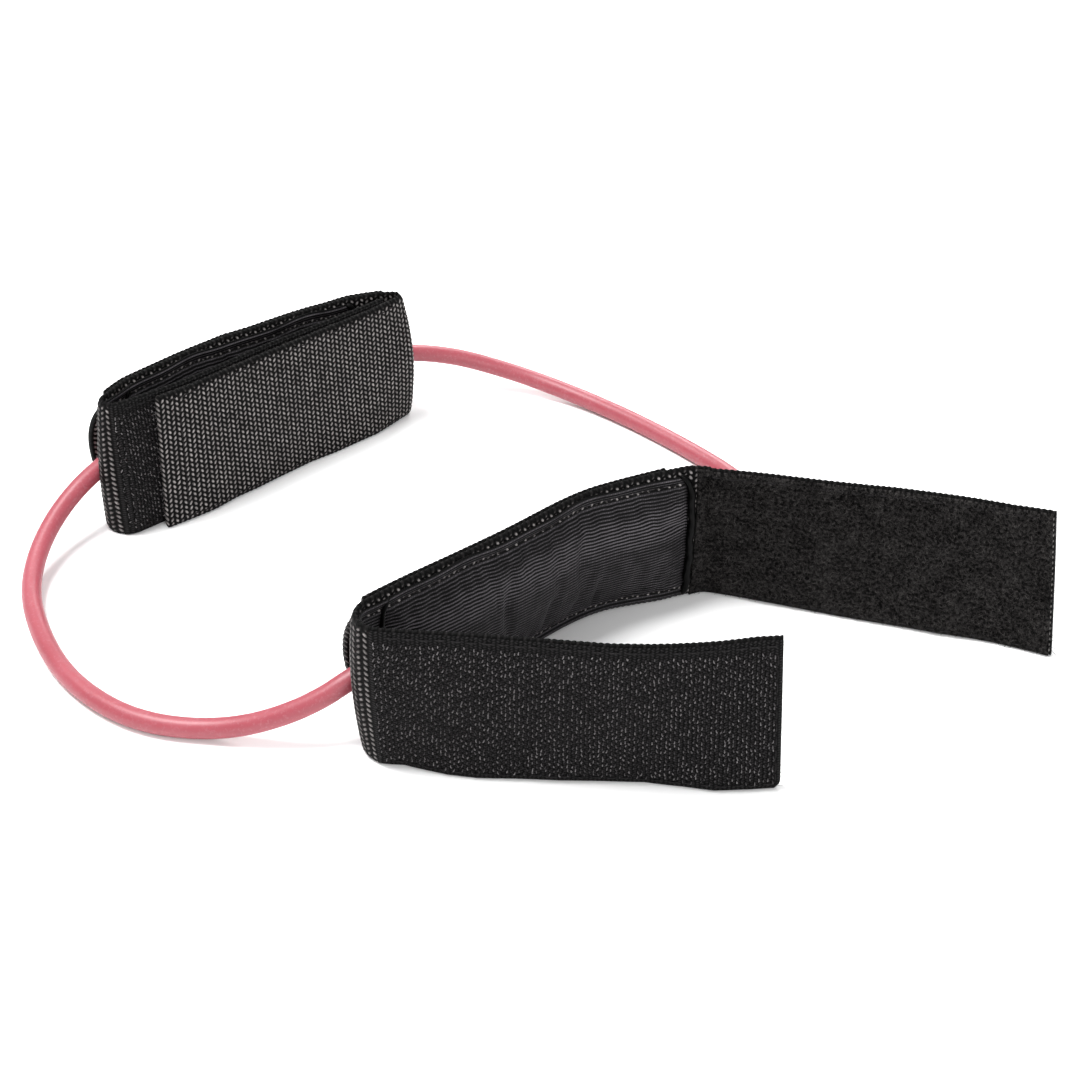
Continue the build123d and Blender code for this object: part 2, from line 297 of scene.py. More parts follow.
CLOSED = Strap(
    "closed_cuff",
    tab=[(30.0, 115.3), (8.0, 114.7), (-20.0, 114.4), (-47.0, 112.3), (-68.0, 111.8)],
    tab_fold=((-81.5, 117.3), 4.9, 181.0, 14.0),
    back=[(-60.0, 125.9), (-45.0, 127.3), (-28.0, 127.6), (-10.0, 127.5), (6.0, 126.5),
          (23.0, 123.2)],
    flap_fold=((36.6, 114.6), 4.2, -24.0, -176.0),
    flap=[(22.0, 110.1), (-6.0, 109.6), (-34.0, 108.4), (-60.0, 107.0), (-72.0, 107.3)],
    sway=[(0, 0.0, 0.0, 0.0), (80, 0.0, 0.0, 0.0), (95, -0.2, 0.3, 0.6), (116, -1.0, 1.8, 1.6),
          (126, -1.2, 1.7, 2.3), (137, 0.8, 0.5, 0.9), (172, 1.0, 0.3, 0.3), (180, 1.4, 0.4, 0.3),
          (190, 0.2, 0.1, 0.2), (221, -0.2, 0.0, 0.2), (231, 0.8, 0.2, 0.2), (243, -1.2, 0.0, -0.8),
          (254, -4.4, -0.3, -2.6), (264, -2.0, -0.2, -1.4), (277, -0.3, 0.3, 1.4),
          (296, -0.3, 0.3, 1.4), (307, -0.3, 0.1, 0.4), (332, -0.3, 0.4, 1.3),
          (341, -0.3, 0.3, 0.9), (351, -0.3, 0.5, 1.8), (374, -0.4, 0.4, 1.0)],
    skew=[(0, 0.0), (330, 0.0), (369, 3.0)],
    corner=(1.0, 1.0),
    ripple=(0.25, 14.0, 2.1))


# ---- relief of the cloths ----------------------------------------------------------------
def weave_relief(s, h):
    """Rise of the webbing's floats: columns of short slanting floats, a half step apart."""
    column = np.floor(s / COLUMN)
    odd = column % 2
    across = s / COLUMN - column - 0.5
    along = (h / ROW + 0.5 * odd) % 1 - 0.5
    across = across + (1 - 2 * odd) * SLANT * along
    apart = (across / FLOAT_WIDE) ** 2 + (along / FLOAT_TALL) ** 2
    return FLOAT_RISE * np.sqrt(np.clip(1 - apart, 0, 1))


def band(strap, first, last, low, high, inner, outer, relief, step, serrate=0.0, bow=None):
    """Points and faces of a cloth band on the strap, closed all round.

    inner and outer are its two faces' distances from the webbing's middle. relief(s, h) rises
    on both faces, serrate waves its long edges and bow(s, h) moves the whole band outward.
    """
    stations = np.linspace(first, last, max(2, int((last - first) / step) + 1))
    heights = np.linspace(low, high, max(2, int((high - low) / step) + 1))
    middle = (inner + outer) / 2
    thick = outer - inner
    loop_h = np.concatenate([heights, [high], heights[::-1], [low]])
    side = np.concatenate([np.ones(len(heights)), [0], -np.ones(len(heights)), [0]])
    s, h = np.meshgrid(stations, loop_h, indexing="ij")
    side = np.broadcast_to(side, s.shape)
    edge = np.minimum(h - low, high - h)
    soft = np.clip(1 - edge / (0.5 * thick), 0, 1) ** 2
    rise = relief(s, h) * np.clip(edge / 1.5, 0, 1)
    d = middle + side * (thick / 2 * (1 - 0.35 * soft) + rise)
    picks = serrate * (0.5 + 0.5 * np.cos(2 * math.pi * s / COLUMN + side * 0.8))
    bulge = (side == 0) * 0.25 * thick + picks * soft
    z = h + np.where(h > (low + high) / 2, bulge, -bulge)
    z = np.maximum(z, 0.02)
    if bow is not None:
        d = d + bow(s, h)
    n = len(loop_h)
    points = strap.place(s, z, d).reshape(-1, 3)
    cloth = np.stack([s, h, side], axis=-1).reshape(-1, 3)
    faces = [grid_faces(len(stations), n, wrap=True)]
    k = len(heights)
    outer_side = np.arange(k)
    inner_side = (k + 1) + np.arange(k)[::-1]
    cap = np.stack([outer_side[:-1], inner_side[:-1], inner_side[1:], outer_side[1:]], axis=-1)
    tips = np.array([[k - 1, k + 1, k], [2 * k, 0, 2 * k + 1]])
    final = (len(stations) - 1) * n
    faces += [cap[:, ::-1], cap + final, tips[:, ::-1], tips + final]
    return points, faces, cloth


def add_blocks(blocks):
    """Several (points, faces, cloth) blocks as one."""
    points, faces, cloth, start = [], [], [], 0
    for block_points, block_faces, block_cloth in blocks:
        points.append(block_points)
        cloth.append(block_cloth)
        faces += [face + start for face in block_faces]
        start += len(block_points)
    return np.vstack(points), faces, np.vstack(cloth)


def strands(strap, places, radius, sides):
    """Tubes whose stations are places (s, h, d) on a strap; cloth is each strand's root."""
    points, faces = tubes(strap.place(places[..., 0], places[..., 1], places[..., 2]),
                          np.broadcast_to(radius, places.shape[:2]), sides)
    shade = rng.random(len(places))
    root = np.stack([places[:, 0, 0], places[:, 0, 1], shade], axis=-1)
    return points, faces, np.repeat(root, places.shape[1] * sides, axis=0)


# ---- materials ---------------------------------------------------------------------------
class Maker:
    """A material's node tree with short calls for the nodes used here."""

    def __init__(self, name, **settings):
        self.material = bpy.data.materials.new(name)
        self.material.use_nodes = True
        self.nodes = self.material.node_tree.nodes
        self.links = self.material.node_tree.links
        self.shader = self.nodes["Principled BSDF"]
        for socket, value in settings.items():
            self.shader.inputs[socket.replace("_", " ")].default_value = value

    def join(self, value, socket):
        if isinstance(value, (int, float, tuple)):
            socket.default_value = value
        else:
            self.links.new(value, socket)

    def math(self, operation, a, b=0.0, c=0.0, clamp=False):
        node = self.nodes.new("ShaderNodeMath")
        node.operation = operation
        node.use_clamp = clamp
        for value, socket in zip((a, b, c), node.inputs):
            self.join(value, socket)
        return node.outputs[0]

    def cloth(self):
        """The strap's s and h, in millimetres, and the third value stored with them."""
        attribute = self.nodes.new("ShaderNodeAttribute")
        attribute.attribute_name = "cloth"
        split = self.nodes.new("ShaderNodeSeparateXYZ")
        self.links.new(attribute.outputs["Vector"], split.inputs[0])
        return attribute.outputs["Vector"], split.outputs

    def noise(self, scale, vector=None, detail=3.0, rough=0.5):
        node = self.nodes.new("ShaderNodeTexNoise")
        node.inputs["Scale"].default_value = scale
        node.inputs["Detail"].default_value = detail
        node.inputs["Roughness"].default_value = rough
        if vector is None:
            vector = self.nodes.new("ShaderNodeTexCoord").outputs["Object"]
        self.links.new(vector, node.inputs["Vector"])
        return node.outputs["Fac"]

    def ramp(self, value, *stops):
        """A colour ramp; each stop is (position, colour)."""
        node = self.nodes.new("ShaderNodeValToRGB")
        while len(node.color_ramp.elements) < len(stops):
            node.color_ramp.elements.new(1.0)
        for element, (position, colour) in zip(node.color_ramp.elements, stops):
            element.position = position
            element.color = (*colour, 1.0)
        self.links.new(value, node.inputs[0])
        return node.outputs[0]

    def mix(self, share, a, b):
        node = self.nodes.new("ShaderNodeMix")
        node.data_type = "RGBA"
        self.join(share, node.inputs[0])
        self.join(a, node.inputs[6])
        self.join(b, node.inputs[7])
        return node.outputs[2]

    def colour(self, value):
        self.links.new(value, self.shader.inputs["Base Color"])

    def roughness(self, value):
        self.links.new(value, self.shader.inputs["Roughness"])

    def bump(self, height, distance, strength=1.0):
        node = self.nodes.new("ShaderNodeBump")
        node.inputs["Distance"].default_value = distance
        node.inputs["Strength"].default_value = strength
        self.links.new(height, node.inputs["Height"])
        self.links.new(node.outputs[0], self.shader.inputs["Normal"])


def float_pattern(make, s, h, column_pitch, row_pitch, slant, wide, tall):
    """Nodes for weave_relief's pattern: 1 at the middle of a float, 0 between floats."""
    u = make.math("DIVIDE", s, column_pitch)
    column = make.math("FLOOR", u)
    odd = make.math("FLOORED_MODULO", column, 2.0)
    across = make.math("SUBTRACT", make.math("SUBTRACT", u, column), 0.5)
    v = make.math("ADD", make.math("DIVIDE", h, row_pitch), make.math("MULTIPLY", odd, 0.5))
    along = make.math("SUBTRACT", make.math("FRACT", v), 0.5)
    sign = make.math("MULTIPLY_ADD", odd, -2.0, 1.0)
    leaning = make.math("MULTIPLY", make.math("MULTIPLY", sign, slant), along)
    across = make.math("DIVIDE", make.math("ADD", across, leaning), wide)
    along = make.math("DIVIDE", along, tall)
    apart = make.math("ADD", make.math("MULTIPLY", across, across),
                      make.math("MULTIPLY", along, along))
    return make.math("SUBTRACT", 1.0, apart, clamp=True)


def webbing_material():
    make = Maker("webbing", Specular_IOR_Level=0.06)
    vector, (s, h, painted_fold_shade) = make.cloth()
    floats = float_pattern(make, s, h, COLUMN, ROW, SLANT, FLOAT_WIDE, FLOAT_TALL)
    from_edge = make.math("MINIMUM", h, make.math("SUBTRACT", STRAP, h))
    inner = make.math("MULTIPLY_ADD", from_edge, 1.1, -0.5, clamp=True)
    patchy = make.noise(0.35, vector, detail=4.0, rough=0.7)
    fibre = make.noise(2.6, vector, detail=2.0)
    # The floats' bright tops in the base colour are a painted highlight of the glossy yarn, fading
    # near the long edges; the near-black between the floats is the black yarn and painted shade.
    lit = make.math("MULTIPLY", floats, make.math("MULTIPLY_ADD", patchy, 1.6, 0.2))
    lit = make.math("MULTIPLY", lit, make.math("MULTIPLY_ADD", inner, 0.8, 0.2))
    # Painted shade on the floats round the tab's fold, from the cloth's third value.
    lit = make.math("MULTIPLY", lit, painted_fold_shade)
    lit = make.math("MULTIPLY", lit, make.math("MULTIPLY_ADD", fibre, 1.2, 0.3), clamp=True)
    make.colour(make.ramp(lit, (0.0, (0.0015, 0.0015, 0.0015)), (0.3, (0.014, 0.013, 0.013)),
                          (1.0, (0.30, 0.28, 0.275))))
    make.roughness(make.math("MULTIPLY_ADD", fibre, 0.35, 0.40))
    height = make.math("ADD", make.math("SQRT", floats), make.math("MULTIPLY", fibre, 0.35))
    make.bump(height, 0.0005, 0.8)
    return make.material


def hook_base_material():
    make = Maker("hook_tape_base", Specular_IOR_Level=0.05)
    vector, (s, h, side) = make.cloth()
    knit = float_pattern(make, s, h, HOOK_COLUMN, HOOK_ROW / 2, 0.4, 0.40, 0.5)
    fibre = make.noise(2.0, vector)
    lit = make.math("MULTIPLY", knit, fibre)
    make.colour(make.ramp(lit, (0.0, (0.0015, 0.0015, 0.0015)), (1.0, (0.036, 0.034, 0.035))))
    make.roughness(make.math("MULTIPLY_ADD", fibre, 0.3, 0.45))
    make.bump(make.math("ADD", knit, fibre), 0.0003, 0.7)
    return make.material


def hook_material():
    make = Maker("hook_tape_hooks", Specular_IOR_Level=0.2)
    vector, (s, h, shade) = make.cloth()
    make.colour(make.ramp(shade, (0.0, (0.010, 0.009, 0.010)), (0.5, (0.060, 0.056, 0.058)),
                          (1.0, (0.165, 0.155, 0.158))))
    make.roughness(make.math("MULTIPLY_ADD", make.noise(900.0), 0.2, 0.25))
    return make.material


def loop_material(name, dark, light):
    make = Maker(name, Specular_IOR_Level=0.03)
    vector, (s, h, shade) = make.cloth()
    flat = make.nodes.new("ShaderNodeCombineXYZ")
    make.links.new(s, flat.inputs[0])
    make.links.new(h, flat.inputs[1])
    tufts = make.noise(0.85, flat.outputs[0], detail=4.0, rough=0.9)
    patches = make.noise(0.12, flat.outputs[0], detail=2.0)
    amount = make.math("MULTIPLY_ADD", patches, 0.12, make.math("MULTIPLY", tufts, 0.88))
    make.colour(make.ramp(amount, (0.45, dark), (0.64, light)))
    make.roughness(make.math("MULTIPLY_ADD", tufts, 0.3, 0.6))
    make.bump(tufts, 0.0006, 0.9)
    return make.material


def lining_material():
    make = Maker("ribbed_lining", Specular_IOR_Level=0.08)
    vector, (s, h, side) = make.cloth()
    hatch = float_pattern(make, s, h, 0.75, RIB / 2, 0.5, 0.5, 0.5)
    rib = make.math("SUBTRACT", 1.0, make.math("DIVIDE", make.math("PINGPONG", h, RIB / 2), RIB / 2))
    worn = make.noise(0.22, vector, detail=3.0)
    # Painted sheen: a brighter band along the upper third of the lining.
    away = make.math("DIVIDE", make.math("SUBTRACT", h, 33.0), 6.5)
    painted_sheen_band = make.math("SUBTRACT", 1.0, make.math("MULTIPLY", away, away), clamp=True)
    # The grooves between the ribs are painted near-black: the dark yarn and painted shade.
    lit = make.math("MULTIPLY", make.math("MULTIPLY_ADD", rib, 2.1, -0.9, clamp=True), worn)
    lit = make.math("MULTIPLY", lit, make.math("MULTIPLY_ADD", hatch, 0.8, 0.5))
    lit = make.math("MULTIPLY", lit, make.math("MULTIPLY_ADD", painted_sheen_band, 1.2, 0.75), clamp=True)
    make.colour(make.ramp(lit, (0.0, (0.001, 0.001, 0.001)), (0.6, (0.115, 0.107, 0.116))))
    make.roughness(make.math("MULTIPLY_ADD", worn, 0.25, 0.30))
    make.bump(make.math("ADD", rib, make.math("MULTIPLY", hatch, 0.35)), 0.00025, 0.8)
    return make.material


def thread_material():
    make = Maker("thread", Specular_IOR_Level=0.08)
    twist = make.noise(1500.0)
    make.colour(make.ramp(twist, (0.3, (0.004, 0.004, 0.004)), (0.8, (0.026, 0.024, 0.025))))
    make.roughness(make.math("MULTIPLY_ADD", twist, 0.3, 0.65))
    return make.material


def rubber_material():
    make = Maker("rubber_tube", Subsurface_Weight=0.35, Subsurface_Radius=(0.006, 0.002, 0.002),
                 Subsurface_Scale=1.0, Specular_IOR_Level=0.5, Coat_Weight=0.12,
                 Coat_Roughness=0.35)
    cloudy = make.noise(35.0, detail=4.0)
    dust = make.noise(900.0, detail=3.0, rough=0.7)
    base = make.ramp(cloudy, (0.3, (0.255, 0.037, 0.053)), (0.7, (0.300, 0.058, 0.077)))
    speckle = make.ramp(dust, (0.52, (0.0, 0.0, 0.0)), (0.75, (1.0, 1.0, 1.0)))
    make.colour(make.mix(make.math("MULTIPLY", speckle, 0.25), base, (0.46, 0.25, 0.28, 1.0)))
    make.roughness(make.math("MULTIPLY_ADD", dust, 0.35, 0.30))
    make.bump(make.math("ADD", dust, make.math("MULTIPLY", cloudy, 0.5)), 0.00008, 0.5)
    return make.material


def joiner_material():
    make = Maker("joiner", Specular_IOR_Level=0.5)
    grain = make.noise(1200.0)
    make.colour(make.ramp(grain, (0.2, (0.62, 0.60, 0.56)), (0.8, (0.74, 0.72, 0.68))))
    make.roughness(make.math("MULTIPLY_ADD", grain, 0.2, 0.35))
    make.bump(grain, 0.00005, 0.4)
    return make.material


def floor_material():
    make = Maker("pale_floor", Specular_IOR_Level=0.1)
    make.colour(make.ramp(make.noise(3.0), (0.0, (0.93, 0.93, 0.93)), (1.0, (0.95, 0.95, 0.95))))
    make.shader.inputs["Roughness"].default_value = 0.9
    return make.material


WEBBING = webbing_material()
HOOK_GROUND = hook_base_material()
HOOKS = hook_material()
LOOP_GROUND = loop_material("loop_tape_base", (0.001, 0.001, 0.001), (0.045, 0.042, 0.041))
PILE = loop_material("loop_tape_pile", (0.001, 0.001, 0.001), (0.090, 0.084, 0.082))
LINING = lining_material()
THREAD = thread_material()
RUBBER = rubber_material()


# ---- the straps' pieces ------------------------------------------------------------------
FINE = 0.5


def half_strap(strap, part, first, last):
    """One half of the continuous webbing, with painted shade on its floats round the tab's fold."""
    name = f"{strap.name}_webbing_{part}_half"
    points, faces, cloth = band(strap, first, last, EDGE_INSET, STRAP - EDGE_INSET, -HALF, HALF,
                                weave_relief, FINE, serrate=0.35)
    # Painted shade: the floats darken round the tab's fold, and the cloth's third value carries it.
    from_fold = (cloth[:, 0] - strap.fold) / FOLD_SHADE_REACH
    cloth[:, 2] = 1 - FOLD_PAINTED_SHADE * np.exp(-from_fold ** 4)
    return make_piece(name, points, faces, WEBBING, cloth)


def arch(first):
    """The sleeve's shape: how far it stands off the strap, a little more at its first end."""
    radius = ((STRAP / 2 - SLEEVE_HEM) ** 2 + SLEEVE_RISE ** 2) / (2 * SLEEVE_RISE)

    def bow(s, h):
        from_middle = np.abs(h - STRAP / 2)
        round_part = np.sqrt(np.maximum(radius ** 2 - from_middle ** 2, 0)) - radius + SLEEVE_RISE
        flare = 1 + 0.10 * np.exp(-(s - first) / 5)
        return flare * np.where(from_middle < STRAP / 2 - SLEEVE_HEM, np.maximum(round_part, 0), 0)
    return bow


def sleeve(strap, first_x, last_x):
    """The second webbing, arched over the tube on the outside of the back."""
    first, last = strap.back_at(first_x), strap.back_at(last_x)
    points, faces, cloth = band(strap, first, last, SLEEVE_INSET, STRAP - SLEEVE_INSET,
                                HALF + 0.05, HALF + WEB, weave_relief, FINE, serrate=0.3,
                                bow=arch(first))
    # The sleeve gets no painted fold shade.
    cloth[:, 2] = 1
    return make_piece(f"{strap.name}_sleeve_webbing", points, faces, WEBBING, cloth)


def hook_places(first, last, low, high):
    """Stations (s, h, d) of the hooks: rows of bent monofilament, each row a half step on."""
    columns = np.arange(first + 2.0, last - 0.4, HOOK_COLUMN)
    rows = np.arange(low + SELVAGE, high - SELVAGE - HOOK_ROW / 2, HOOK_ROW)
    s, h = np.meshgrid(columns, rows, indexing="ij")
    h = h + HOOK_ROW / 2 * (np.arange(len(columns)) % 2)[:, None]
    s = (s + rng.normal(0, 0.07, s.shape)).ravel()
    h = (h + rng.normal(0, 0.10, h.shape)).ravel()
    tall = HOOK_RISE * rng.uniform(0.75, 1.05, len(s))
    turn = rng.uniform(-0.6, 0.6, len(s)) + np.where(rng.random(len(s)) < 0.5, 0, math.pi)
    reach = np.array([0.0, 0.02, 0.12, 0.38, 0.62, 0.66])
    rise = np.array([-0.05, 0.45, 0.85, 1.0, 0.82, 0.58])
    across = reach * rng.uniform(0.8, 1.1, len(s))[:, None]
    d = HALF + HOOK_BASE + rise * tall[:, None]
    return np.stack([s[:, None] + across * np.sin(turn)[:, None],
                     h[:, None] + across * np.cos(turn)[:, None], d], axis=-1)


def hook_tape(strap, first, last):
    """The tape's knitted base and its hooks, on the tab's outer face."""
    low, high = TAPE_INSET, STRAP - TAPE_INSET

    def knit(s, h):
        rows = 0.5 + 0.5 * np.cos(2 * math.pi * s / HOOK_COLUMN)
        return 0.12 * rows * (0.6 + 0.4 * np.cos(2 * math.pi * h / (HOOK_ROW / 2)))
    block = band(strap, first, last, low, high, HALF + 0.02, HALF + HOOK_BASE, knit, FINE)
    base = make_piece(f"{strap.name}_hook_tape_base", *block[:2], HOOK_GROUND, block[2])
    places = hook_places(first, last, low, high)
    block = strands(strap, places, 0.17, 4)
    hooks = make_piece(f"{strap.name}_hook_tape_hooks", *block[:2], HOOKS, block[2])
    return base, hooks


def loop_tape(strap, first, last):
    """The tape's matted ground and the loose loops that stand out of it, on the flap's inside."""
    low, high = TAPE_INSET, STRAP - TAPE_INSET
    below = -4.0
    tufts = rng.random((int(140 / TUFT), int(60 / TUFT)))

    def matted(s, h):
        i, j = (s - first) / TUFT, (h - below) / TUFT
        i0 = np.clip(i.astype(int), 0, tufts.shape[0] - 2)
        j0 = np.clip(j.astype(int), 0, tufts.shape[1] - 2)
        u, v = i - i0, j - j0
        u, v = u * u * (3 - 2 * u), v * v * (3 - 2 * v)
        near = tufts[i0, j0] * (1 - v) + tufts[i0, j0 + 1] * v
        far = tufts[i0 + 1, j0] * (1 - v) + tufts[i0 + 1, j0 + 1] * v
        return 0.55 * (near * (1 - u) + far * u)
    block = band(strap, first, last, low, high, -HALF - LOOP_BASE, -HALF - 0.02, matted, FINE)
    base = make_piece(f"{strap.name}_loop_tape_base", *block[:2], LOOP_GROUND, block[2])
    count = 9000
    s = rng.uniform(first + 0.5, last - 0.5, count)
    h = rng.uniform(low + 0.6, high - 0.6, count)
    turn = rng.uniform(0, 2 * math.pi, count)[:, None]
    wide = rng.uniform(0.5, 1.3, count)[:, None]
    tall = rng.uniform(0.35, 1.0, count)[:, None] * LOOP_RISE
    swing = np.linspace(0, math.pi, 6)[None, :]
    along = wide * (1 - np.cos(swing)) / 2
    over = np.clip(h[:, None] + along * np.sin(turn), 0.4, STRAP - 0.4)
    places = np.stack([s[:, None] + along * np.cos(turn), over,
                       -HALF - LOOP_BASE - 0.15 - tall * np.sin(swing)], axis=-1)
    block = strands(strap, places, 0.055, 3)
    pile = make_piece(f"{strap.name}_loop_tape_pile", *block[:2], PILE, block[2])
    return base, pile


def stitch_places(first, last, across, face, side, upright=False):
    """Stitches in one straight row, each dipping into the cloth at its ends.

    The row runs along the strap at height across, or up the strap at the place s = across.
    """
    starts = np.arange(first, last - STITCH, STITCH_PITCH)
    share = np.linspace(0, 1, 7)
    run = starts[:, None] + share * STITCH + rng.normal(0, 0.12, (len(starts), 1))
    lift = np.sin(share * math.pi) ** 0.5 * 0.42 - 0.12
    aside = across + rng.normal(0, 0.10, (len(starts), 1)) + 0 * run
    s, h = (aside, run) if upright else (run, aside)
    return np.stack([s, h, face + side * (lift + 0 * run)], axis=-1)


def stitching(strap, name, rows, thick=0.24):
    """One node's rows of stitches; each row is what stitch_places takes."""
    places = np.vstack([stitch_places(*row) for row in rows])
    block = strands(strap, places, thick, 6)
    return make_piece(f"{strap.name}_{name}", *block[:2], THREAD, block[2])


# ---- the padded lining -------------------------------------------------------------------
def puffed(length, width, frames=22):
    """Depth of a pad's front, from a cloth simulation: a sewn pocket blown up by its filling.

    The pocket's front is a little larger than its seams, so it puckers beside them. It is
    blown up at ten times its size, where the solver is steadier. Returns the depth, 0 at the
    seams and about 1 at the fullest place, on an even grid.
    """
    nx, nz = int(length / 1.7), int(width / 1.7)
    x, z = np.meshgrid(np.linspace(0, length, nx), np.linspace(0, width, nz), indexing="ij")
    from_edge = np.minimum(np.minimum(x, length - x), np.minimum(z, width - z))
    swell = 1 - np.exp(-from_edge / 4.0)
    rise = 1.2 * swell + 0.25 * rng.random(x.shape) * swell
    piece = make_piece("pocket", np.stack([x, -rise, z], axis=-1).reshape(-1, 3),
                       [grid_faces(nx, nz)], LINING)
    piece.scale = (10, 10, 10)
    bpy.context.view_layer.objects.active = piece
    piece.select_set(True)
    bpy.ops.object.transform_apply(location=False, rotation=False, scale=True)
    rim = piece.vertex_groups.new(name="seams")
    on_edge = np.flatnonzero((from_edge < 0.01).ravel())
    rim.add([int(i) for i in on_edge], 1.0, "ADD")
    cloth = piece.modifiers.new("puff", "CLOTH")
    settings = cloth.settings
    settings.quality = 6
    settings.mass = 0.3
    settings.tension_stiffness = 30
    settings.compression_stiffness = 30
    settings.shear_stiffness = 12
    settings.bending_stiffness = 0.6
    settings.shrink_min = -0.035
    settings.vertex_group_mass = "seams"
    settings.use_pressure = True
    settings.uniform_pressure_force = 3.2
    settings.effector_weights.gravity = 0
    cloth.point_cache.frame_start = 1
    cloth.point_cache.frame_end = frames
    for number in range(1, frames + 1):
        bpy.context.scene.frame_set(number)
    graph = bpy.context.evaluated_depsgraph_get()
    blown = piece.evaluated_get(graph).to_mesh()
    co = np.empty(len(blown.vertices) * 3, np.float32)
    blown.vertices.foreach_get("co", co)
    depth = -co.reshape(nx, nz, 3)[:, :, 1]
    bpy.data.objects.remove(piece)
    bpy.context.scene.frame_set(1)
    return depth / max(float(np.percentile(depth, 98)), 1e-6)


def sampled(grid, u, v):
    """Bilinear values of a grid at shares u and v of its two sides."""
    i = np.clip(u, 0, 1) * (grid.shape[0] - 1)
    j = np.clip(v, 0, 1) * (grid.shape[1] - 1)
    i0 = np.minimum(i.astype(int), grid.shape[0] - 2)
    j0 = np.minimum(j.astype(int), grid.shape[1] - 2)
    a, b = i - i0, j - j0
    low = grid[i0, j0] * (1 - b) + grid[i0, j0 + 1] * b
    high = grid[i0 + 1, j0] * (1 - b) + grid[i0 + 1, j0 + 1] * b
    return low * (1 - a) + high * a


def lining_sheet(strap, name, first, last, padded):
    """Ribbed lining on the strap's inside: rolled hems, a sewn channel, and a puffed middle."""
    low, high = LINING_FOOT, STRAP - LINING_HEAD
    step_h = RIB / 5
    stations = np.linspace(first, last, int((last - first) / 0.9) + 2)
    heights = np.linspace(low, high, int((high - low) / step_h))
    s, h = np.meshgrid(stations, heights, indexing="ij")
    from_edge = np.minimum(h - low, high - h)
    inner = np.clip((from_edge - PAD_HEM) / 0.8, 0, 1)
    hem = 0.5 + 0.55 * np.exp(-((from_edge - 1.1) / 0.8) ** 2)
    channel = 0.42 * np.exp(-((from_edge - PAD_HEM) / 0.7) ** 2)
    ribs = RIB_RISE * (0.5 + 0.5 * np.cos(2 * math.pi * h / RIB)) * inner
    puff = 0.0
    if padded:
        depth = puffed(last - first - 2, high - low - 2 * PAD_HEM)
        u = (s - first - 1) / (last - first - 2)
        v = (h - low - PAD_HEM) / (high - low - 2 * PAD_HEM)
        inside = (v > 0) & (v < 1) & (u > 0) & (u < 1)
        puff = np.where(inside, sampled(depth, u, v), 0) * (PAD_RISE - 0.9)
    front = -HALF - np.maximum(hem - channel + puff + ribs, 0.12)
    back = np.full_like(front, -HALF - 0.03)
    stray = (0.55 * np.sin(s / 8.0) + 0.30 * np.sin(s / 3.7 + 1.0)) * (h / STRAP) ** 3
    shell = np.vstack([strap.place(s, h + stray, front).reshape(-1, 3),
                       strap.place(s, h + stray, back).reshape(-1, 3)])
    cloth = np.stack([s, h, front], axis=-1).reshape(-1, 3)
    quads = grid_faces(*s.shape)
    index = np.arange(s.size).reshape(s.shape)
    rim = np.concatenate([index[0, :-1], index[:-1, -1], index[-1, :0:-1], index[:0:-1, 0]])
    after = np.roll(rim, -1)
    wall = np.stack([rim, after, after + s.size, rim + s.size], axis=-1)
    faces = [quads[:, ::-1], quads + s.size, wall[:, ::-1]]
    return make_piece(f"{strap.name}_{name}", shell, faces, LINING, np.vstack([cloth, cloth]))


def bindings(strap, first_x, last_x):
    """The rolled edge of the lining at each end of the pad."""
    blocks = []
    for x, turn, thick in ((first_x - 1.0, 1, 0.8), (last_x + 1.3, -1, 1.25)):
        s = strap.back_at(x)
        t = np.linspace(0, 1, 60)
        tuck = 0.9 * np.abs(2 * t - 1) ** 6 + 2.6 * t ** 14
        wobble = 0.22 * np.sin(t * 23 + x) + 0.12 * np.sin(t * 61)
        places = np.stack([s + turn * tuck + wobble, 1.6 + t * (STRAP - 3.4),
                           -HALF - thick + 0.6 * np.abs(2 * t - 1) ** 8 + 0 * t], axis=-1)[None]
        radius = thick * (1 + 0.07 * np.sin(t * 47) - 0.45 * np.abs(2 * t - 1) ** 10)[None]
        blocks.append(strands(strap, places, radius, 14))
    points, faces, cloth = add_blocks(blocks)
    return make_piece(f"{strap.name}_rolled_binding", points, faces, LINING, cloth)


def frayed_end(strap, name, s_end, direction, inner, outer):
    """Stray fibres at a cut end of the webbing."""
    count = 70
    h = rng.uniform(1, STRAP - 1, count)[:, None]
    d = rng.uniform(inner, outer, count)[:, None]
    t = np.linspace(0, 1, 5)[None, :]
    long = rng.gamma(2.0, 0.38, count)[:, None]
    bend = rng.normal(0, 0.5, count)[:, None]
    curl = rng.normal(0, 0.35, count)[:, None]
    places = np.stack([s_end + direction * (long * t - 0.4) + 0 * h,
                       np.clip(h + bend * t ** 2, 0.2, 60), d + curl * t ** 2], axis=-1)
    block = strands(strap, places, 0.05, 3)
    return make_piece(f"{strap.name}_{name}", *block[:2], HOOKS, block[2])


# ---- the tube ----------------------------------------------------------------------------
def tube_line():
    """Points along the tube: the smooth spline of its route, read from a curve with no bevel."""
    curve = bpy.data.curves.new("route", "CURVE")
    curve.dimensions = "3D"
    curve.resolution_u = 18
    spline = curve.splines.new("NURBS")
    spline.points.add(len(TUBE_ROUTE) - 1)
    for point, place in zip(spline.points, TUBE_ROUTE):
        point.co = (*place, 1.0)
    spline.order_u = 3
    spline.use_endpoint_u = True
    holder = bpy.data.objects.new("route", curve)
    bpy.context.scene.collection.objects.link(holder)
    bpy.context.view_layer.update()
    mesh = bpy.data.meshes.new_from_object(holder)
    line = np.array([v.co for v in mesh.vertices]) / MM
    bpy.data.objects.remove(holder)
    bpy.data.meshes.remove(mesh)
    return line


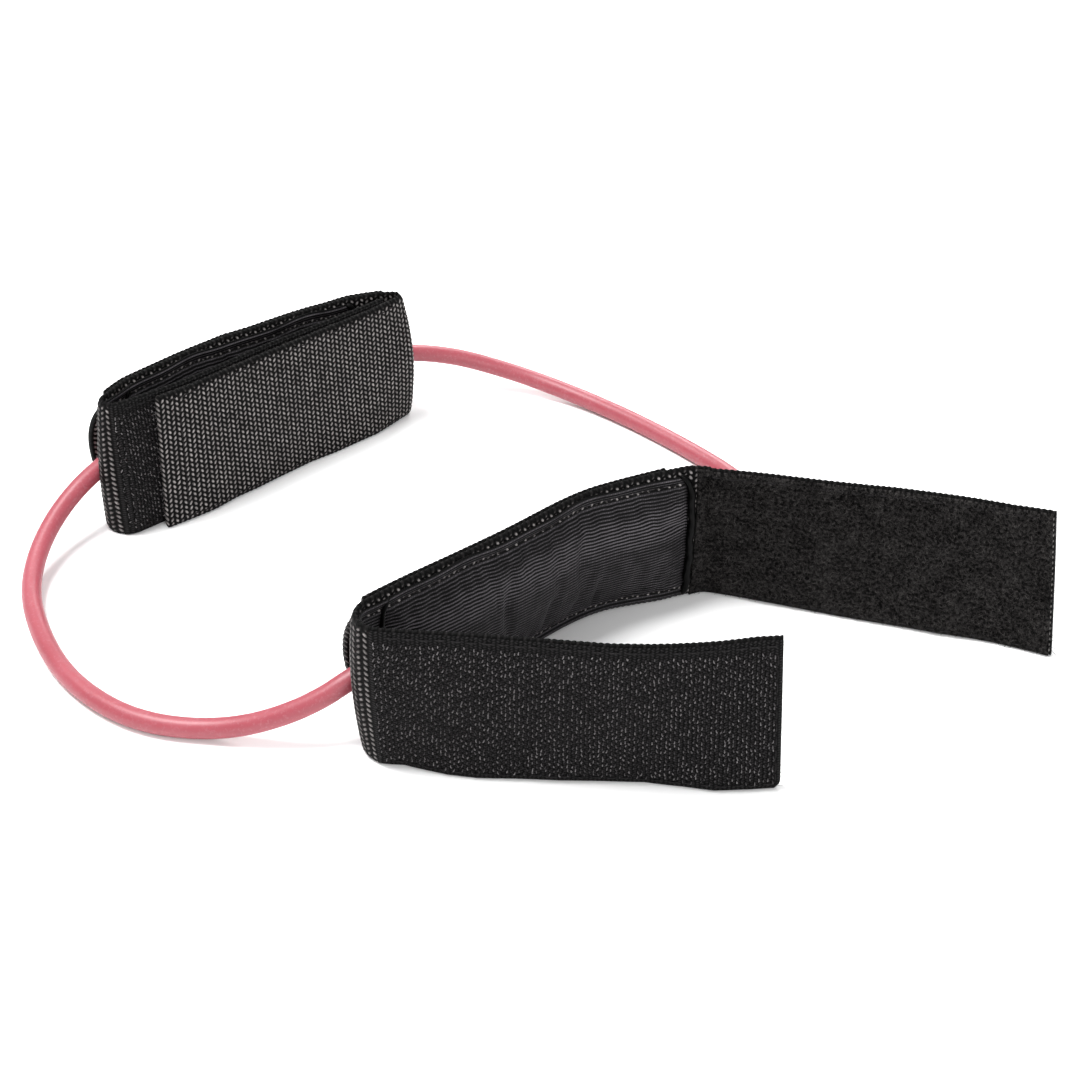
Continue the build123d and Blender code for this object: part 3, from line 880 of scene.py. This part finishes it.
def resistance_tube():
    """The tube's mesh, with its path in metres and its length."""
    line = tube_line()
    sides = 28
    tangent = unit_rows(np.gradient(line, axis=0))
    level = unit_rows(np.cross(tangent, (0, 0, 1)))
    up = np.cross(level, tangent)
    angle = np.arange(sides) * (2 * math.pi / sides)
    ring = (np.cos(angle)[:, None] * level[:, None, :] + np.sin(angle)[:, None] * up[:, None, :])
    points = (line[:, None, :] + ring * TUBE_RADIUS).reshape(-1, 3)
    faces = [grid_faces(len(line), sides, wrap=True),
             np.arange(sides)[None, :],
             np.arange(sides)[None, ::-1] + (len(line) - 1) * sides]
    run = np.concatenate([[0], np.cumsum(np.linalg.norm(np.diff(line, axis=0), axis=1))])
    cloth = np.stack([np.repeat(run, sides), np.tile(angle, len(line)),
                      np.zeros(len(points))], axis=-1)
    piece = make_piece("rubber_tube_loop", points, faces, RUBBER, cloth)
    return piece, line * MM, float(run[-1] * MM)


# ---- putting the cuffs together ----------------------------------------------------------
class Joint:
    """Where a cuff's cloth bends between its back and its tab or flap."""

    def __init__(self, root, body, start, end):
        self.root = root
        self.body = body
        self.start, self.end = ((x * MM, y * MM, STRAP / 2 * MM) for x, y in (start, end))

    def bend(self, *pieces):
        for piece in pieces:
            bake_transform(piece)


def finish_piece(piece, slot, *nodes):
    """Hide the CAD nodes that a piece replaces."""
    if nodes:
        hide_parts(*nodes)


def build_cuff(strap, pad_x, sleeve_x, hooks_to, loops_from, tab_joint, flap_joint):
    """All visible pieces of one cuff. The back's pieces ride on the cuff's body; the tab's and
    flap's pieces only have their transforms baked.
    """
    name = strap.name
    split = strap.back_at(STRAP_SPLIT)
    tab_half = half_strap(strap, "tab", 0.0, split)
    flap_half = half_strap(strap, "flap", split, strap.length)
    finish_piece(tab_half, "webbing", f"{name}_hook_tab", f"{name}_tab_fold",
                 f"{name}_back_webbing")
    finish_piece(flap_half, "webbing", f"{name}_loop_flap", f"{name}_flap_fold")

    base, hooks = hook_tape(strap, 0.4, hooks_to)
    finish_piece(base, "hook_tape", f"{name}_hook_tape")
    finish_piece(hooks, "hook_tape")
    ground, pile = loop_tape(strap, loops_from, strap.length - 0.6)
    finish_piece(ground, "loop_tape", f"{name}_loop_tape")
    finish_piece(pile, "loop_tape")

    over = sleeve(strap, *sleeve_x)
    finish_piece(over, "webbing", f"{name}_tube_sleeve")
    sleeve_start, sleeve_end = strap.back_at(sleeve_x[0]), strap.back_at(sleeve_x[1])
    pad_start, pad_end = strap.back_at(pad_x[0]), strap.back_at(pad_x[1])
    lining = lining_sheet(strap, "puffed_lining", pad_start, pad_end, padded=True)
    finish_piece(lining, "lining", f"{name}_pad_cover", f"{name}_foam_pad")
    tail = lining_sheet(strap, "lining_tail", pad_start - TAIL, pad_start + 0.6, padded=False)
    finish_piece(tail, "lining")
    rolls = bindings(strap, *pad_x)
    finish_piece(rolls, "lining", f"{name}_pad_binding")

    sleeve_seams = stitching(strap, "sleeve_seams", [
        (sleeve_start + 2, sleeve_end - 2, height, HALF + WEB + 0.1, 1)
        for height in (2.6, STRAP - 2.6)])
    finish_piece(sleeve_seams, "thread", f"{name}_sleeve_stitching")
    pad_seams = stitching(strap, "pad_seams", [
        (pad_start + 2, pad_end - 2, height, -HALF - 0.20, -1)
        for height in (4.4, STRAP - 5.0)], thick=0.13)
    finish_piece(pad_seams, "thread", f"{name}_pad_stitching")
    hook_seams = stitching(strap, "hook_tape_seams", [
        (2.0, hooks_to - 1, height, face, side) for height in (SEAM_INSET, STRAP - SEAM_INSET)
        for face, side in ((HALF + HOOK_BASE, 1), (-HALF - 0.1, -1))] + [
        (2.2, STRAP - 2.2, 1.6, face, side, True)
        for face, side in ((HALF + HOOK_BASE, 1), (-HALF - 0.1, -1))])
    finish_piece(hook_seams, "thread", f"{name}_hook_stitching")
    loop_seams = stitching(strap, "loop_tape_seams", [
        (loops_from + 1, strap.length - 2, height, face, side)
        for height in (SEAM_INSET, STRAP - SEAM_INSET)
        for face, side in ((-HALF - LOOP_BASE - 0.1, -1), (HALF + 0.1, 1))] + [
        (2.2, STRAP - 2.2, strap.length - 8.0, HALF + 0.2, 1, True)])
    finish_piece(loop_seams, "thread", f"{name}_loop_stitching")
    tab_fray = frayed_end(strap, "tab_end_fibres", 0.0, -1, -HALF, HALF + 0.8)
    flap_fray = frayed_end(strap, "flap_end_fibres", strap.length, 1, -HALF - 1, HALF)
    finish_piece(tab_fray, "webbing")
    finish_piece(flap_fray, "webbing")

    for piece in (over, lining, rolls, sleeve_seams, pad_seams):
        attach(piece, name)
    tab_joint.bend(tab_half, base, hooks, hook_seams, tab_fray, tail)
    flap_joint.bend(flap_half, ground, pile, loop_seams, flap_fray)


build_cuff(OPEN, pad_x=(-83.0, 30.0), sleeve_x=(-87.5, 24.0), hooks_to=115.5,
           loops_from=OPEN.back_at(30.0) + 3.0,
           tab_joint=Joint("open_cuff", "open_cuff_tab", (-87.0, -31.0), (-92.1, -43.7)),
           flap_joint=Joint("open_cuff", "open_cuff_flap", (27.0, -41.5), (41.0, -50.5)))
build_cuff(CLOSED, pad_x=(-73.0, 22.0), sleeve_x=(-80.5, 34.0), hooks_to=115.5,
           loops_from=CLOSED.length - 105.0,
           tab_joint=Joint("closed_cuff", "closed_cuff_tab", (-80.5, 122.0), (-80.5, 113.0)),
           flap_joint=Joint("closed_cuff", "closed_cuff_flap", (37.5, 119.4), (37.5, 110.8)))

tube, tube_path, tube_length = resistance_tube()
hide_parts("resistance_tube")
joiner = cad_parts["tube_joiner"]
joiner.data.materials.clear()
joiner.data.materials.append(joiner_material())
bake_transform(tube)


# ---- floor, light and camera -------------------------------------------------------------
def floor():
    mesh = bpy.data.meshes.new("floor")
    side = 4.0
    mesh.from_pydata([(-side, -side, 0), (side, -side, 0), (side, side, 0), (-side, side, 0)],
                     [], [(0, 1, 2, 3)])
    mesh.materials.append(floor_material())
    piece = bpy.data.objects.new("floor", mesh)
    bpy.context.scene.collection.objects.link(piece)


def area_light(name, place, target, size, power):
    lamp = bpy.data.lights.new(name, "AREA")
    lamp.shape = "DISK"
    lamp.size = size
    lamp.energy = power
    holder = bpy.data.objects.new(name, lamp)
    holder.location = place
    holder.rotation_mode = "QUATERNION"
    holder.rotation_quaternion = (Vector(target) - Vector(place)).to_track_quat("-Z", "Y")
    bpy.context.scene.collection.objects.link(holder)


def studio():
    floor()
    world = bpy.data.worlds.new("studio")
    world.use_nodes = True
    background = world.node_tree.nodes["Background"]
    background.inputs["Color"].default_value = (1.0, 1.0, 1.0, 1.0)
    background.inputs["Strength"].default_value = 0.70
    bpy.context.scene.world = world
    bpy.context.scene.view_settings.view_transform = "Standard"
    area_light("key", (-0.28, 0.30, 1.00), (0, 0, 0.02), 0.5, 17.0)
    area_light("fill", (-0.35, -0.95, 0.60), (0, 0, 0.02), 0.7, 6.0)
    area_light("back", (0.75, 0.65, 0.70), (0, 0.05, 0.02), 0.5, 8.0)


def camera():
    """The camera stands south-west of the band and looks down on it."""
    yaw, pitch = math.radians(41.6), math.radians(34.0)
    look = Vector((math.sin(yaw) * math.cos(pitch), math.cos(yaw) * math.cos(pitch),
                   -math.sin(pitch)))
    data = bpy.data.cameras.new("camera")
    data.lens = 63.33
    data.sensor_width = 36.0
    holder = bpy.data.objects.new("camera", data)
    holder.location = (-0.341, -0.3895, 0.3647)
    holder.rotation_mode = "QUATERNION"
    holder.rotation_quaternion = look.to_track_quat("-Z", "Y")
    bpy.context.scene.collection.objects.link(holder)
    bpy.context.scene.camera = holder


studio()
camera()
